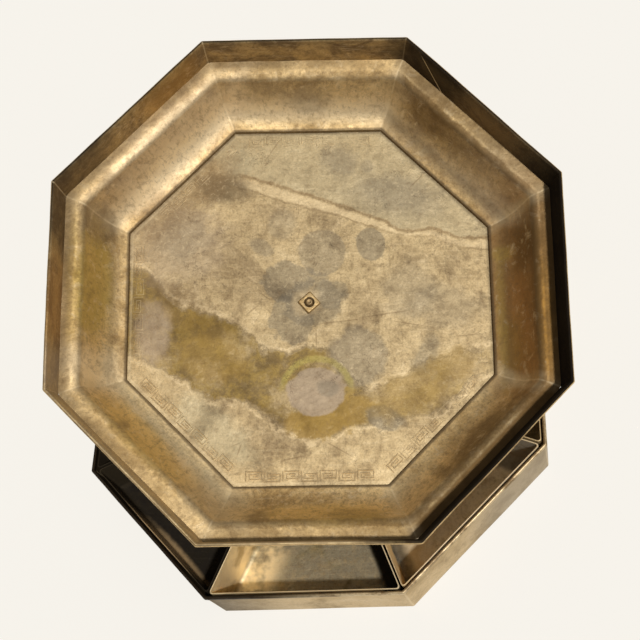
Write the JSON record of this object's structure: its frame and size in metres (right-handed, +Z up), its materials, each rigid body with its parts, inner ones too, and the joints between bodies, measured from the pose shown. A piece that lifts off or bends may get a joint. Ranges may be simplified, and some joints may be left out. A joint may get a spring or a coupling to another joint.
{
  "type": "octagonal tray box",
  "caption": "Eight-sided brass box with lift-out compartment dishes; its deep lid lies upturned and leaning on top as an octagonal tray.",
  "frame": {"origin": "centre of the box's underside, on the surface it stands on", "axes": "+Z up; +X and +Y square to flats of the box, with the upturned lid leaning down towards +X and -Y"},
  "size_m": [0.3158, 0.3099, 0.187],
  "materials": {
    "box_brass": "aged, dull",
    "band_brass": "rubbed bright on the edge",
    "dish_brass": "aged, half dull",
    "panel_brass": "stained and scratched, half dull",
    "lid_brass": "aged, half polished",
    "fitting_brass": "aged, half polished",
    "knob_brass": "worn smooth"
  },
  "bodies": {
    "box": {"box_floor": "box_brass", "box_wall": "box_brass", "box_rim_band": "band_brass"},
    "centre_dish_body": {"centre_dish": "dish_brass"},
    "side_dish_1_body": {"side_dish_1": "dish_brass"},
    "side_dish_2_body": {"side_dish_2": "dish_brass"},
    "side_dish_3_body": {"side_dish_3": "dish_brass"},
    "side_dish_4_body": {"side_dish_4": "dish_brass"},
    "side_dish_5_body": {"side_dish_5": "dish_brass"},
    "side_dish_6_body": {"side_dish_6": "dish_brass"},
    "side_dish_7_body": {"side_dish_7": "dish_brass"},
    "side_dish_8_body": {"side_dish_8": "dish_brass"},
    "lid": {"lid_panel": "panel_brass", "lid_cove": "lid_brass", "lid_rim_wall": "lid_brass", "lid_rim_band": "band_brass", "knob_stud": "fitting_brass", "square_nut": "fitting_brass", "knob_rose": "knob_brass", "knob": "knob_brass"}
  },
  "joints": [
    {"name": "lid_lift", "type": "slide", "parent": "box", "child": "lid", "axis": [0, 0, 1], "range_m": [0, 0.15]},
    {"name": "centre_dish_lift", "type": "slide", "parent": "box", "child": "centre_dish_body", "axis": [0, 0, 1], "range_m": [0, 0.06]},
    {"name": "side_dish_1_lift", "type": "slide", "parent": "box", "child": "side_dish_1_body", "axis": [0, 0, 1], "range_m": [0, 0.045]},
    {"name": "side_dish_2_lift", "type": "slide", "parent": "box", "child": "side_dish_2_body", "axis": [0, 0, 1], "range_m": [0, 0.045]},
    {"name": "side_dish_3_lift", "type": "slide", "parent": "box", "child": "side_dish_3_body", "axis": [0, 0, 1], "range_m": [0, 0.045]},
    {"name": "side_dish_4_lift", "type": "slide", "parent": "box", "child": "side_dish_4_body", "axis": [0, 0, 1], "range_m": [0, 0.045]},
    {"name": "side_dish_5_lift", "type": "slide", "parent": "box", "child": "side_dish_5_body", "axis": [0, 0, 1], "range_m": [0, 0.045]},
    {"name": "side_dish_6_lift", "type": "slide", "parent": "box", "child": "side_dish_6_body", "axis": [0, 0, 1], "range_m": [0, 0.045]},
    {"name": "side_dish_7_lift", "type": "slide", "parent": "box", "child": "side_dish_7_body", "axis": [0, 0, 1], "range_m": [0, 0.045]},
    {"name": "side_dish_8_lift", "type": "slide", "parent": "box", "child": "side_dish_8_body", "axis": [0, 0, 1], "range_m": [0, 0.045]}
  ],
  "couplings": [
    {"joint": "centre_dish_lift", "follows": "lid_lift", "ratio": 0.4},
    {"joint": "side_dish_1_lift", "follows": "lid_lift", "ratio": 0.3},
    {"joint": "side_dish_2_lift", "follows": "lid_lift", "ratio": 0.3},
    {"joint": "side_dish_3_lift", "follows": "lid_lift", "ratio": 0.3},
    {"joint": "side_dish_4_lift", "follows": "lid_lift", "ratio": 0.3},
    {"joint": "side_dish_5_lift", "follows": "lid_lift", "ratio": 0.3},
    {"joint": "side_dish_6_lift", "follows": "lid_lift", "ratio": 0.3},
    {"joint": "side_dish_7_lift", "follows": "lid_lift", "ratio": 0.3},
    {"joint": "side_dish_8_lift", "follows": "lid_lift", "ratio": 0.3}
  ]
}
